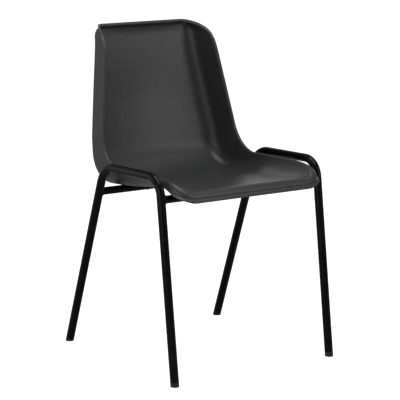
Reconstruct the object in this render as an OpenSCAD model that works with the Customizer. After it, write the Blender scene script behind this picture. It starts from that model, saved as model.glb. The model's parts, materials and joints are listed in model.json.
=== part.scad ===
// Choir chair: a moulded bucket shell on a welded tube frame.
// Origin on the floor midway between the four feet, +Z up, the sitter faces -Y.

/* [Frame] */
// Outside diameter of the bent leg tube
tube_d = 22; // [18:0.5:28]
// Wall thickness of the leg tube
tube_wall = 1.5; // [1:0.1:3]
// Distance between the middle planes of the two side frames
frame_width = 482; // [400:1:560]
// Distance on the floor from the front feet to the rear feet
feet_span = 512; // [440:1:600]
// Lean of the front legs towards the back, degrees
front_lean = 7.27; // [0:0.01:15]
// Lean of the rear legs towards the front, degrees
rear_lean = 20.65; // [5:0.01:30]
// Height where the lines of front leg and top tube meet
front_knee_z = 509.6; // [460:0.1:540]
// Height where the lines of rear leg and top tube meet
rear_knee_z = 501.8; // [460:0.1:540]
// Bend radius of the front knee, on the tube axis
front_knee_r = 49; // [35:1:80]
// Bend radius of the rear knee, on the tube axis
rear_knee_r = 68; // [35:1:90]
// Shrink of the tube radius where it is bent
bend_draw = 0.05; // [0.02:0.01:0.2]
// Length by which the straight tube laps into a bend
bend_lap = 0.5; // [0.2:0.1:1]
// Gap left between welded parts
weld_gap = 0.2; // [0:0.05:0.5]

/* [Rails] */
// Outside diameter of the two cross rails
rail_d = 20; // [16:0.5:25]
// Wall thickness of the cross rails
rail_wall = 1.5; // [1:0.1:3]
// Height of the front rail axis
front_rail_z = 457; // [400:1:480]
// Height of the rear rail axis
rear_rail_z = 433; // [400:1:480]

/* [Fixing lugs] */
// Plate thickness of a lug
lug_t = 3; // [2:0.5:5]
// Width of a lug
lug_width = 26; // [20:1:40]
// Distance of a fixing screw from its rail axis
lug_reach = 28; // [22:1:45]
// Distance of a fixing screw from the middle of the seat
lug_x = 112; // [60:1:160]
// Clearance hole in a lug
lug_hole_d = 6.6; // [6:0.1:8]

/* [Fixings] */
// Shank diameter of a fixing screw
screw_d = 6; // [5:0.5:8]
// Length of a screw under its head
screw_length = 12; // [10:1:20]
// Head diameter of a screw
screw_head_d = 11; // [9:0.5:14]
// Head height of a screw
screw_head_h = 3.6; // [2:0.1:6]
// Width across flats of the socket in the screw head
socket_af = 4; // [3:0.5:6]
// Depth of the socket in the screw head
socket_depth = 2.2; // [1:0.1:4]
// Outside diameter of a washer
washer_d = 14; // [12:0.5:18]
// Bore of a washer
washer_bore = 6.4; // [6:0.1:8]
// Thickness of a washer
washer_t = 1.5; // [1:0.1:3]
// Outside diameter of a threaded insert
insert_d = 8.6; // [7:0.1:11]
// Length of a threaded insert
insert_length = 9.5; // [6:0.5:12]
// Width of the groove round an insert
insert_groove_w = 2; // [1:0.1:4]
// Depth of the groove round an insert
insert_groove_t = 0.5; // [0.2:0.1:1]

/* [Feet] */
// Length of a foot head between tube end and floor, on the leg axis
foot_head = 11; // [8:0.5:20]
// Rounding of the foot head
foot_round = 3.5; // [1:0.5:6]
// Length of the stem inside the tube
foot_stem = 24; // [15:1:40]
// Radial clearance of the stem in the tube
foot_clear = 0.2; // [0.05:0.05:0.5]
// Taper of the stem end
foot_lead = 3; // [1:0.5:6]

/* [Seat shell] */
// Thickness of the moulded wall
shell_wall = 4; // [3:0.5:6]
// Thickness at the free edge of the lip
lip_wall = 2.6; // [2:0.1:4]
// Distance of the sitting surface above the rail axes, square to the seat
seat_drop = 16.9; // [14:0.1:30]
// Distance along the seat from the rear rail to the corner with the back
corner_behind = 97; // [60:1:140]
// Lean of the back from the vertical, degrees
back_rake = 10.5; // [5:0.5:20]
// Radius where seat and back run together
bend_r = 80; // [50:1:120]
// Height of the back at its top edge
top_z = 835; // [760:0.5:900]
// Height of the side wall over the seat at the front rail
side_front_h = 30.5; // [20:0.1:50]
// Height of the side wall over the seat at the rear rail
side_rear_h = 42.5; // [20:0.1:70]
// Depth of the wings beside the back
wing_depth = 84; // [50:1:120]
// Radius of the rim where side wall and wing run together
rim_r = 92; // [60:1:130]
// Half width of the seat at the rim
half_width = 212.5; // [180:1:230]
// Narrowing of the half width per length of height above the taper start
taper_share = 0.152; // [0:0.002:0.3]
// Height where the narrowing starts
taper_z = 500; // [460:1:600]
// Length over which the narrowing sets in
taper_soft = 25; // [5:1:60]
// Rounding between floor and side wall
fillet_r = 30; // [20:1:60]
// Rounding between floor and side wall at the front of the seat
fillet_front_r = 88; // [50:1:120]
// Place along the seat where the rounding starts to widen
fillet_start = 60; // [30:1:90]
// Length over which the rounding widens
fillet_run = 170; // [120:1:220]
// Outward lean of the side walls beside the seat, degrees
low_flare_angle = 3.5; // [0:0.5:8]
// Outward lean of the wings at the top, degrees
high_flare_angle = 7; // [0:0.5:12]
// Hollow across the seat
seat_dish = 2; // [0:0.5:8]
// Hollow across the back
back_dish = 8; // [0:0.5:16]

/* [Shell corners] */
// Distance of the front roll ahead of the front rail axis
roll_ahead = 26; // [15:0.1:35]
// Width of a front corner
corner_width = 38.5; // [30:0.5:80]
// Depth of a front corner
corner_depth = 140; // [80:1:150]
// Exponent of the front corner curve
corner_power = 3.4; // [2.4:0.1:4]
// Exponent of the side wall dying out round the front corner
wall_fade = 0.94; // [0.8:0.02:2]
// Radius of the top corners
top_corner_r = 28.5; // [25:0.5:50]
// Length over which the wings run into the top edge
wing_run = 115; // [80:1:140]
// Exponent of the wing's fall towards the top
wing_power = 6.5; // [4:0.1:8]
// Exponent of the wing's landing on the top edge
wing_landing = 0.8; // [0.7:0.05:1]
// Forward curl of the top edge
curl_depth = 8; // [2:0.5:16]
// Radius of the forward curl
curl_r = 20; // [12:1:40]

/* [Shell lip] */
// Roll radius of the lip along the sides
lip_side_r = 4.5; // [4:0.1:8]
// Roll radius of the lip where the front corner begins
lip_corner_r = 4.5; // [4:0.1:8]
// Mean roll radius of the front edge
lip_front_r = 18.8; // [15:0.1:30]
// Roll radius of the lip along the top
lip_top_r = 5; // [4:0.1:10]
// Exponent of the growth of the roll round the corner
lip_power = 2; // [1:0.1:3]
// Exponent of the front roll, which starts flat and tightens
roll_power = 1.5; // [1:0.1:2]
// End direction of the roll along the sides, degrees
lip_side_angle = 128; // [90:1:170]
// End direction of the roll at the front corner, degrees
lip_corner_angle = 139; // [120:1:160]
// End direction of the roll along the front, degrees
lip_front_angle = 190; // [160:1:195]
// End direction of the roll along the top, degrees
lip_top_angle = 170; // [90:1:175]
// Straight skirt under the roll along the sides
skirt_side = 2; // [1:0.5:10]
// Straight skirt under the roll at the front corner
skirt_corner = 12; // [1:0.5:16]
// Straight skirt under the roll along the front
skirt_front = 1; // [0.5:0.5:6]
// Length of the bead along the lower edge of the front
bead_length = 9.5; // [4:0.5:12]
// Outward turn of the bead, degrees
bead_angle = 60; // [0:1:70]
// Share of the bead kept along the sides
bead_side_share = 0.02; // [0.02:0.01:0.2]
// Share of the bead kept at the front corner
bead_corner_share = 0.12; // [0.02:0.01:0.5]
// Distance over which the skirt grows ahead of the corner
skirt_run = 100; // [60:1:130]
// Distance behind the front corner where the skirt starts to grow
skirt_start = 12; // [0:1:40]

/* [Bosses] */
// Outside diameter of a boss under the seat
boss_d = 19; // [15:0.5:26]
// Draft of a boss, degrees
boss_draft_angle = 3; // [0:0.5:6]
// Thickness of the stiffening fins on a boss
fin_t = 2.4; // [1.5:0.1:4]
// Reach of the fins from the boss axis
fin_reach = 21; // [12:1:35]

/* [Fineness] */
// Steps along the front corner
steps_corner = 9; // [6:1:20]
// Steps along the side of the seat
steps_side = 6; // [4:1:20]
// Steps round the bend
steps_bend = 10; // [6:1:24]
// Steps up the back
steps_back = 7; // [4:1:20]
// Steps round the top corner
steps_top = 9; // [6:1:20]
// Steps across the flat floor, per half
steps_floor = 6; // [4:1:16]
// Steps across fillet and side wall, per half
steps_wall = 10; // [8:1:24]
// Steps round the lip
steps_lip = 5; // [4:1:12]
// Steps along the bead
steps_bead = 3; // [1:1:6]
// Neighbours on each side that share the slope a lip starts with
steps_blend = 2; // [0:1:4]
// Facets of a drawn circle
facets = 48; // [24:1:96]

/* [Hidden] */
$fn = facets;
over = shell_wall / 4;
tiny = over / 1000;
// Turn from point to point along small rounded edges, degrees
round_step = 15;
// Sides of the hexagonal socket
socket_sides = 6;
// Share of the screw head's height that is a straight rim, and of its width that is flat on top
head_rim_share = 1 / 3;
head_flat_share = 0.6;
// Share of the boss height at which the fins leave the post
fin_share = 1 / 3;
// Length of the finely divided outer part of a section, as a share of the fillet radius
edge_share = 2.6;
// Where the taper counts as straight, and the least lean of a rising wall, both as shares
straight_share = 30;
lean_share = 0.3;
half_span = feet_span / 2;
side_x = frame_width / 2;
tube_bore = tube_d - 2 * tube_wall;
rail_bore = rail_d - 2 * rail_wall;

// Profile points and directions are pairs (y, z).
front_leg_dir = [sin(front_lean), cos(front_lean)];
rear_leg_dir = [-sin(rear_lean), cos(rear_lean)];
front_foot_at = [-half_span, 0];
rear_foot_at = [half_span, 0];
front_knee = at_height(front_foot_at, front_leg_dir, front_knee_z);
rear_knee = at_height(rear_foot_at, rear_leg_dir, rear_knee_z);
top_angle = heading(rear_knee - front_knee);
front_turn = heading(front_leg_dir) - top_angle;
rear_turn = top_angle - heading(-rear_leg_dir);
front_cut = front_knee_r * tan(front_turn / 2);
rear_cut = rear_knee_r * tan(rear_turn / 2);
front_rail = at_height(front_foot_at, front_leg_dir, front_rail_z);
rear_rail = at_height(rear_foot_at, rear_leg_dir, rear_rail_z);

// The seat lies parallel to the plane through both rails.
pan_dir = (rear_rail - front_rail) / norm(rear_rail - front_rail);
pan_up = [-pan_dir[1], pan_dir[0]];
pan_slope = -heading(pan_dir);
back_dir = [sin(back_rake), cos(back_rake)];
back_up = [-back_dir[1], back_dir[0]];
pan_rear = rear_rail + pan_up * seat_drop;
pan_front = front_rail + pan_up * seat_drop;
seat_corner = pan_rear + pan_dir * corner_behind;
bend_run = bend_r * tan((90 - back_rake + pan_slope) / 2);
bend_centre = seat_corner - pan_dir * bend_run + pan_up * bend_r;
rim_front = pan_front + pan_up * side_front_h;
rim_rear = pan_rear + pan_up * side_rear_h;
rim_dir = (rim_rear - rim_front) / norm(rim_rear - rim_front);
rim_up = [-rim_dir[1], rim_dir[0]];
wing_line = seat_corner + back_up * wing_depth;
rim_centre = meet(rim_front + rim_up * rim_r, rim_dir, wing_line + back_up * rim_r, back_dir);

// Front corner of the rim and the length of the back
roll_y = front_rail[0] - roll_ahead;
corner_y = roll_y + corner_depth;
corner_x = half_width - corner_width;
back_foot = floor_hit(-back_up)[0];
back_length = (top_z - back_foot[1]) / back_dir[1];
top_start = back_length - top_corner_r;
wing_start = back_length - wing_run;
curl_start = back_length - sqrt(curl_r * curl_r - (curl_r - curl_depth) * (curl_r - curl_depth));
curl_angle = asin(1 - curl_depth / curl_r);
edge_run = fillet_r * edge_share;

boss_drop = seat_drop - shell_wall - lug_t / 2;
head_room = washer_t + lug_t;

function mix(a, b, t) = a + (b - a) * t;
function limit(x) = min(max(x, 0), 1);
function mean(v) = v * [for (x = v) 1] / len(v);
function ease(x) = let (t = limit(x)) t * t * (3 - 2 * t);
function unit(v) = v / max(norm(v), tiny);
function heading(v) = atan2(v[1], v[0]);
function mirrored(p) = [-p[0], p[1], p[2]];
function at_height(p, d, z) = p + d * ((z - p[1]) / d[1]);
function at_depth(p, d, y) = p + d * ((y - p[0]) / d[0]);
function turned(a, b) = a[0] * b[1] - a[1] * b[0];
// Where the line through p along d meets the line through q along e
function meet(p, d, q, e) = p + d * (turned(q - p, e) / turned(d, e));
// Soft start of the narrowing of the shell with height
function width_at(z) =
    half_width - taper_share * taper_soft * ln(1 + exp(min((z - taper_z) / taper_soft, straight_share)));

// Outward lean of the wall of a station
function flare_of(s) = mix(low_flare_angle, high_flare_angle, limit((s[2][1] - taper_z) / (top_z - taper_z)));

// Floor point and floor normal met by a ray from the rim centre
function floor_hit(d) =
    let (
        reach = rim_centre - bend_centre,
        b = reach * d,
        disc = b * b - reach * reach + bend_r * bend_r,
        arc_point = rim_centre + d * (sqrt(max(disc, 0)) - b),
        out = (arc_point - bend_centre) / bend_r,
        pan_point = meet(rim_centre, d, seat_corner, pan_dir),
        back_point = meet(rim_centre, d, seat_corner, back_dir),
        in_bend = disc > 0 && out * pan_dir >= 0 && out * back_dir <= 0
    )
    in_bend ? [arc_point, -out]
    : (pan_point - seat_corner) * pan_dir <= -bend_run ? [pan_point, pan_up]
    : [back_point, back_up];

// A station is [floor point, floor normal, rim point, half width, curl, corner angle, place].
// Place is 0 in the front corner, 1 between the corners and 2 in the top corner.
function corner_station(b) =
    let (
        y = corner_y - corner_depth * pow(sin(b), 2 / corner_power),
        base = at_depth(pan_front, pan_dir, y),
        rise = (at_depth(rim_front, rim_dir, y) - base) * pan_up * pow(cos(b), wall_fade)
    )
    [base, pan_up, base + pan_up * rise, corner_x + corner_width * pow(cos(b), 2 / corner_power), 0, b, 0];

function side_station(t) =
    let (
        last = floor_hit(-rim_up)[0],
        base = mix(at_depth(pan_front, pan_dir, corner_y), last, t),
        rim = mix(at_depth(rim_front, rim_dir, corner_y), rim_centre - rim_up * rim_r, t)
    )
    [base, pan_up, rim, half_width, 0, 0, 1];

function bend_station(t) =
    let (
        a = mix(heading(-rim_up), heading(-back_up), t),
        d = [cos(a), sin(a)],
        hit = floor_hit(d),
        rim = rim_centre + d * rim_r
    )
    [hit[0], hit[1], rim, width_at(rim[1]), 0, 0, 1];

function back_station(run, b) =
    let (
        u = limit((run - wing_start) / wing_run),
        wing = mix(curl_depth, wing_depth, pow(1 - pow(u, wing_power), wing_landing)),
        past = max(run - curl_start, 0),
        curl = curl_r - sqrt(max(curl_r * curl_r - past * past, 0)),
        base = back_foot + back_dir * run,
        drop = tan(back_rake) * limit(run / back_length),
        rim = base + back_up * wing - back_dir * (wing * drop),
        z = (base + back_up * wing_depth)[1]
    )
    [base, back_up, rim, width_at(z) - top_corner_r * (1 - cos(b)), curl, b, b > 0 ? 2 : 1];

stations = [
    for (k = [0 : steps_corner - 1]) corner_station(90 - 90 * k / steps_corner),
    for (k = [0 : steps_side - 1]) side_station(k / steps_side),
    for (k = [0 : steps_bend - 1]) bend_station(k / steps_bend),
    for (k = [0 : steps_back - 1]) back_station(top_start * k / steps_back, 0),
    for (k = [0 : steps_top])
        let (b = 90 * k / steps_top)
        back_station(top_start + top_corner_r * sin(b), b)
];
rows = len(stations);
half_cols = steps_floor + steps_wall;
cols = 2 * half_cols + 1;

// Rounding between floor and wall, which widens towards the front of the seat
function fillet_of(s) = mix(fillet_r, fillet_front_r, ease((fillet_start - s[2][0]) / fillet_run));

// Half of a cross section, from the middle out to the rim
function half_row(s) =
    let (
        base = s[0],
        n = s[1],
        h = norm(s[2] - base),
        up = h > tiny ? (s[2] - base) / h : n,
        lean = up * n,
        depth = h * lean,
        flare = flare_of(s),
        fillet = fillet_of(s),
        wall_h = fillet * (1 - sin(flare)),
        wall_x = fillet * cos(flare),
        full = depth >= wall_h,
        angle = full ? 90 - flare : acos(limit(1 - depth / fillet)),
        wall = full ? (depth - wall_h) / cos(flare) : 0,
        flat = s[3] - (full ? wall_x + wall * sin(flare) : fillet * sin(angle)),
        arc = fillet * angle * PI / 180,
        total = flat + arc + wall,
        split = min(flat, total - edge_run),
        dish = mix(back_dish, seat_dish, limit(n[1])) * (s[6] == 1 ? 1 : cos(s[5]) * cos(s[5])),
        runs = [
            for (k = [0 : steps_floor - 1]) split * k / steps_floor,
            for (k = [0 : steps_wall]) mix(split, total, k / steps_wall)
        ]
    )
    [
        for (g = runs)
        let (
            turn = (g - flat) / fillet * 180 / PI,
            climb = (g - flat - arc) * cos(flare),
            d = g <= flat ? 0 : g <= flat + arc ? fillet * (1 - cos(turn)) : wall_h + climb,
            x = g <= flat ? g
                : g <= flat + arc ? flat + fillet * sin(turn)
                : flat + wall_x + climb * tan(flare),
            sag = g <= flat ? dish * pow(1 - pow(g / flat, 2), 2) : 0,
            bow = s[4] * (1 - limit(d / max(depth, tiny))),
            p = base + up * (d / max(lean, lean_share)) + n * (bow - sag)
        )
        [x, p[0], p[1]]
    ];

sheet = [for (s = stations) half_row(s)];

// Surface normal of the sitting side at row i and half column j
function sheet_normal(i, j) =
    let (
        back = sheet[min(i + 1, rows - 1)][j],
        fore = sheet[max(i - 1, 0)][j],
        out = sheet[i][min(j + 1, half_cols)],
        in = j > 0 ? sheet[i][j - 1] : mirrored(sheet[i][1])
    )
    unit(cross(out - in, back - fore));

// Border of the sheet as [row, half column], from the middle of the front to the middle of the top
border = [
    for (j = [0 : half_cols - 1]) [0, j],
    for (i = [0 : rows - 1]) [i, half_cols],
    for (j = [half_cols - 1 : -1 : 0]) [rows - 1, j]
];
last = len(border) - 1;
function border_point(k) = sheet[border[k][0]][border[k][1]];

// Frame of the lip at border point k: [point, normal side, outward side, slope of the sheet, station]
function lip_frame(k) =
    let (
        s = stations[border[k][0]],
        before = k > 0 ? border_point(k - 1) : mirrored(border_point(1)),
        after = k < last ? border_point(k + 1) : mirrored(border_point(last - 1)),
        along = unit(after - before),
        n = [0, s[1][0], s[1][1]],
        w = unit(n - along * (n * along)),
        e = cross(along, w),
        up = sheet_normal(border[k][0], border[k][1]),
        slope = max(min(atan2(up * w, -up * e), 90), 0)
    )
    [border_point(k), w, e, s[6] == 2 ? mix(flare_of(s), curl_angle, pow(sin(s[5]), 4)) : slope, s];
frames = [for (k = [0 : last]) lip_frame(k)];
function start_angle(k) = mean([
    for (i = [-steps_blend : steps_blend]) frames[max(min(k + i, last), 0)][3]
]);

// Upper and lower points of the lip at border point k, from the rim to the free edge
function lip_points(k) =
    let (
        f = frames[k],
        s = f[4],
        start = start_angle(k),
        front = s[6] == 0 ? pow(sin(s[5]), 2) : 0,
        top = s[6] == 2 ? pow(sin(s[5]), 2) : 0,
        grow = s[1] == pan_up ? ease((corner_y + skirt_start - f[0][1]) / skirt_run) : 0,
        side_r = mix(lip_side_r, lip_corner_r, grow),
        r = mix(mix(side_r, lip_front_r, pow(front, lip_power)), lip_top_r, top),
        skirt = mix(mix(skirt_side, skirt_corner, grow), skirt_front, front * front),
        side_turn = mix(lip_side_angle, lip_corner_angle, grow),
        end = mix(mix(side_turn, lip_front_angle, front), lip_top_angle, top),
        bead = max(front, mix(bead_side_share, bead_corner_share, grow)),
        soft = mix(1, roll_power, front),
        roll = [for (j = [0 : steps_lip]) mix(start, end, pow(j / steps_lip, soft))],
        flicks = [for (j = [1 : steps_bead]) end - bead_angle * bead * j / steps_bead],
        turns = [each roll, each flicks],
        arc = r * (end - start) * PI / 180 / steps_lip,
        steps = [
            for (j = [1 : steps_lip]) [arc, (roll[j - 1] + roll[j]) / 2],
            [skirt, end],
            for (a = flicks) [bead_length * bead / steps_bead, a]
        ],
        ways = [for (v = steps) (f[1] * cos(v[1]) + f[2] * sin(v[1])) * v[0]],
        upper = [
            for (p = f[0], j = 0; j <= lip_steps; p = p + ways[min(j, lip_steps - 1)], j = j + 1) p
        ],
        sides = [
            each roll,
            for (j = [1 : steps_bead]) (turns[steps_lip + j - 1] + turns[steps_lip + j]) / 2,
            flicks[steps_bead - 1]
        ]
    )
    [
        upper,
        [
            for (j = [0 : lip_steps])
            upper[j] - (f[1] * sin(sides[j]) - f[2] * cos(sides[j])) * mix(shell_wall, lip_wall, j / lip_steps)
        ]
    ];
lip_steps = steps_lip + 1 + steps_bead;
lips = [for (k = [0 : last]) lip_points(k)];

// Lower side of the sheet; along the border it follows the start of the lip
function under(i, j) =
    j == half_cols ? lips[half_cols + i][1][0]
    : i == 0 ? lips[j][1][0]
    : i == rows - 1 ? lips[last - j][1][0]
    : sheet[i][j] - sheet_normal(i, j) * shell_wall;

function whole_row(half) = [
    for (j = [half_cols : -1 : 1]) mirrored(half[j]),
    each half
];
function whole_ring(half) = [
    each half,
    for (k = [last - 1 : -1 : 1]) mirrored(half[k])
];
ring = 2 * last;
skin = rows * cols;

shell_vertices = [
    for (i = [0 : rows - 1]) each whole_row(sheet[i]),
    for (i = [0 : rows - 1]) each whole_row([for (j = [0 : half_cols]) under(i, j)]),
    for (j = [1 : lip_steps]) each whole_ring([for (k = [0 : last]) lips[k][0][j]]),
    for (j = [1 : lip_steps]) each whole_ring([for (k = [0 : last]) lips[k][1][j]])
];

// Index of a sheet vertex; side 0 is the sitting side and side 1 the underside
function sheet_index(side, i, c) = side * skin + i * cols + c;
// Index of a lip vertex; step 0 is the border of the sheet itself
function lip_index(side, j, k) =
    let (
        m = (k + ring) % ring,
        h = m <= last ? m : ring - m,
        c = border[h][1]
    )
    j > 0 ? 2 * skin + (side * lip_steps + j - 1) * ring + m
    : sheet_index(side, border[h][0], half_cols + (m <= last ? c : -c));

function two_faces(a, b, c, d, flip) = flip ? [[a, b, d], [b, c, d]] : [[a, b, c], [a, c, d]];
shell_faces = [
    for (i = [0 : rows - 2])
    for (c = [0 : cols - 2])
    let (
        q = [for (s = [0, 1]) [
            sheet_index(s, i, c),
            sheet_index(s, i, c + 1),
            sheet_index(s, i + 1, c + 1),
            sheet_index(s, i + 1, c)
        ]]
    )
    each [
        each two_faces(q[0][3], q[0][2], q[0][1], q[0][0], c < half_cols),
        each two_faces(q[1][0], q[1][1], q[1][2], q[1][3], c >= half_cols)
    ],
    for (j = [0 : lip_steps - 1])
    for (k = [0 : ring - 1])
    let (
        q = [for (s = [0, 1]) [
            lip_index(s, j, k),
            lip_index(s, j, k + 1),
            lip_index(s, j + 1, k + 1),
            lip_index(s, j + 1, k)
        ]]
    )
    each [
        each two_faces(q[0][0], q[0][1], q[0][2], q[0][3], k < last),
        each two_faces(q[1][3], q[1][2], q[1][1], q[1][0], k < last)
    ],
    for (k = [0 : ring - 1])
    each two_faces(
        lip_index(0, lip_steps, k),
        lip_index(0, lip_steps, k + 1),
        lip_index(1, lip_steps, k + 1),
        lip_index(1, lip_steps, k),
        k < last
    )
];

// Places the children at a fixing point: Z square to the seat, origin on the sitting surface
module at_fixing(rail, x, way) {
    spot = rail + pan_up * seat_drop + pan_dir * lug_reach * way;
    translate([x, spot[0], spot[1]])
        rotate([-pan_slope, 0, 0])
            children();
}

module at_all_fixings() {
    for (x = [-lug_x, lug_x]) {
        at_fixing(front_rail, x, 1)
            children();
        at_fixing(rear_rail, x, -1)
            children();
    }
}

// Places the children on a leg axis: origin where the axis meets the floor, Z up the leg
module on_leg(x, foot, dir) {
    translate([x, foot[0], 0])
        rotate([-atan2(dir[0], dir[1]), 0, 0])
            children();
}

// A straight length of tube up Z that laps into the bends beside it, then the children at its end
module straight(length, low_lap, high_lap) {
    translate([0, 0, -low_lap])
        difference() {
            cylinder(d = tube_d, h = length + low_lap + high_lap);
            translate([0, 0, -over])
                cylinder(d = tube_bore, h = length + low_lap + high_lap + 2 * over);
        }
    translate([0, 0, length])
        children();
}

// A bend that turns the tube from Z towards Y, drawn in a little, then the children at its end
module bend(r, sweep) {
    translate([0, r, 0])
        rotate([90, 0, -90])
            rotate_extrude(angle = sweep)
                translate([r, 0])
                    difference() {
                        circle(d = tube_d - 2 * bend_draw);
                        circle(d = tube_bore - 2 * bend_draw);
                    }
    translate([0, r, 0])
        rotate([-sweep, 0, 0])
            translate([0, -r, 0])
                children();
}

module side_frame(x) {
    color([0.05, 0.05, 0.055])
        on_leg(x, front_foot_at, front_leg_dir)
            translate([0, 0, foot_head])
                straight(norm(front_knee - front_foot_at) - front_cut - foot_head, 0, bend_lap)
                    bend(front_knee_r, front_turn)
                        straight(norm(rear_knee - front_knee) - front_cut - rear_cut, bend_lap, bend_lap)
                            bend(rear_knee_r, rear_turn)
                                straight(
                                    norm(rear_knee - rear_foot_at) - rear_cut - foot_head,
                                    bend_lap,
                                    0
                                );
}

// Cross rail between the side frames, its ends coped to the legs
module rail(at, foot, dir) {
    color([0.05, 0.05, 0.055])
        difference() {
            translate([-side_x, at[0], at[1]])
                rotate([0, 90, 0])
                    cylinder(d = rail_d, h = frame_width);
            translate([-side_x - over, at[0], at[1]])
                rotate([0, 90, 0])
                    cylinder(d = rail_bore, h = frame_width + 2 * over);
            for (x = [-side_x, side_x])
                on_leg(x, foot, dir)
                    translate([0, 0, front_rail_z / 2])
                        cylinder(d = tube_d + 2 * weld_gap, h = front_rail_z);
        }
}

// Welded lug: a round-ended plate coped to the rail, drilled for the screw
module fixing_lug(at, x, way) {
    color([0.05, 0.05, 0.055])
        difference() {
            at_fixing(at, x, way)
                translate([0, 0, -seat_drop - lug_t / 2])
                    difference() {
                        union() {
                            cylinder(d = lug_width, h = lug_t);
                            translate([-lug_width / 2, way > 0 ? -lug_reach : 0, 0])
                                cube([lug_width, lug_reach, lug_t]);
                        }
                        translate([0, 0, -over])
                            cylinder(d = lug_hole_d, h = lug_t + 2 * over);
                    }
            translate([x - lug_width, at[0], at[1]])
                rotate([0, 90, 0])
                    cylinder(d = rail_d + 2 * weld_gap, h = 2 * lug_width);
        }
}

// Plastic foot: a stem in the tube end and a rounded head cut level with the floor
module foot(x, at, dir) {
    stem_r = tube_bore / 2 - foot_clear;
    head_r = tube_d / 2;
    color([0.03, 0.03, 0.03])
        difference() {
            on_leg(x, at, dir)
                rotate_extrude()
                    polygon([
                        [0, -foot_round],
                        [head_r - foot_round, -foot_round],
                        for (a = [0 : round_step : 90 - round_step])
                            [head_r - foot_round * (1 - sin(a)), -foot_round * cos(a)],
                        [head_r, 0],
                        [head_r, foot_head],
                        [stem_r, foot_head],
                        [stem_r, foot_head + foot_stem - foot_lead],
                        [stem_r - foot_lead / 2, foot_head + foot_stem],
                        [0, foot_head + foot_stem]
                    ]);
            translate([x - tube_d, at[0] - tube_d, -2 * tube_d])
                cube([2 * tube_d, 2 * tube_d, 2 * tube_d]);
        }
}

// Boss under the seat with four fins, standing on a lug; the screw insert sits in its bore
module boss() {
    spread = boss_drop * tan(boss_draft_angle);
    translate([0, 0, -shell_wall - boss_drop]) {
        cylinder(d1 = boss_d, d2 = boss_d + 2 * spread, h = boss_drop + shell_wall / 2);
        for (a = [45, 135])
            rotate([90, 0, a])
                translate([0, 0, -fin_t / 2])
                    linear_extrude(height = fin_t)
                        polygon([
                            [-boss_d / 2, boss_drop * fin_share],
                            [boss_d / 2, boss_drop * fin_share],
                            [fin_reach, boss_drop],
                            [fin_reach, boss_drop + shell_wall / 2],
                            [-fin_reach, boss_drop + shell_wall / 2],
                            [-fin_reach, boss_drop]
                        ]);
    }
}

module seat_shell() {
    color([0.2, 0.2, 0.205])
        difference() {
            union() {
                polyhedron(points = shell_vertices, faces = shell_faces, convexity = 8);
                at_all_fixings()
                    boss();
            }
            at_all_fixings()
                translate([0, 0, -shell_wall - boss_drop - over])
                    cylinder(d = insert_d, h = insert_length + over);
        }
}

// Socket-headed screws from below, through washer and lug into the inserts
module fixing_screws() {
    color([0.55, 0.55, 0.56])
        at_all_fixings()
            translate([0, 0, -shell_wall - boss_drop - head_room])
                difference() {
                    union() {
                        cylinder(d = screw_d, h = screw_length);
                        rotate([180, 0, 0])
                            rotate_extrude()
                                polygon([
                                    [0, 0],
                                    [screw_head_d / 2, 0],
                                    [screw_head_d / 2, screw_head_h * head_rim_share],
                                    for (a = [round_step : round_step : 90 - round_step])
                                        [
                                            screw_head_d / 2 * mix(head_flat_share, 1, cos(a)),
                                            screw_head_h * mix(head_rim_share, 1, sin(a))
                                        ],
                                    [0, screw_head_h]
                                ]);
                    }
                    translate([0, 0, -screw_head_h - over])
                        cylinder(
                            d = socket_af / cos(180 / socket_sides),
                            h = socket_depth + over,
                            $fn = socket_sides
                        );
                }
}

module fixing_washers() {
    color([0.6, 0.6, 0.61])
        at_all_fixings()
            translate([0, 0, -shell_wall - boss_drop - head_room])
                difference() {
                    cylinder(d = washer_d, h = washer_t);
                    translate([0, 0, -over])
                        cylinder(d = washer_bore, h = washer_t + 2 * over);
                }
}

// Brass inserts with one groove, moulded into the bosses and bored for the screw
module thread_inserts() {
    color([0.72, 0.58, 0.3])
        at_all_fixings()
            translate([0, 0, -shell_wall - boss_drop])
                difference() {
                    cylinder(d = insert_d, h = insert_length);
                    translate([0, 0, -over])
                        cylinder(d = screw_d, h = insert_length + 2 * over);
                    translate([0, 0, (insert_length - insert_groove_w) / 2])
                        difference() {
                            cylinder(d = insert_d + 2 * over, h = insert_groove_w);
                            translate([0, 0, -over])
                                cylinder(d = insert_d - 2 * insert_groove_t, h = insert_groove_w + 2 * over);
                        }
                }
}

seat_shell();
side_frame(-side_x);  // side_frame_left
side_frame(side_x);  // side_frame_right
rail(front_rail, front_foot_at, front_leg_dir);
rail(rear_rail, rear_foot_at, rear_leg_dir);
fixing_lug(front_rail, -lug_x, 1);  // fixing_lug_front_left
fixing_lug(front_rail, lug_x, 1);  // fixing_lug_front_right
fixing_lug(rear_rail, -lug_x, -1);  // fixing_lug_rear_left
fixing_lug(rear_rail, lug_x, -1);  // fixing_lug_rear_right
foot(-side_x, front_foot_at, front_leg_dir);  // foot_front_left
foot(side_x, front_foot_at, front_leg_dir);  // foot_front_right
foot(-side_x, rear_foot_at, rear_leg_dir);  // foot_rear_left
foot(side_x, rear_foot_at, rear_leg_dir);  // foot_rear_right
fixing_screws();
fixing_washers();
thread_inserts();
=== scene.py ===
# %% [markdown]
# # Choir chair
# A choir chair is made to be carried, stacked and sat on for hours: one bucket of moulded
# plastic, held by a frame of bent steel tube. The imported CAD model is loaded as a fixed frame,
# and everything below is dressed around it in metres, in the same place.

import json
import math
from collections import namedtuple

import bpy
import numpy as np
from mathutils import Matrix, Vector


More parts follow.
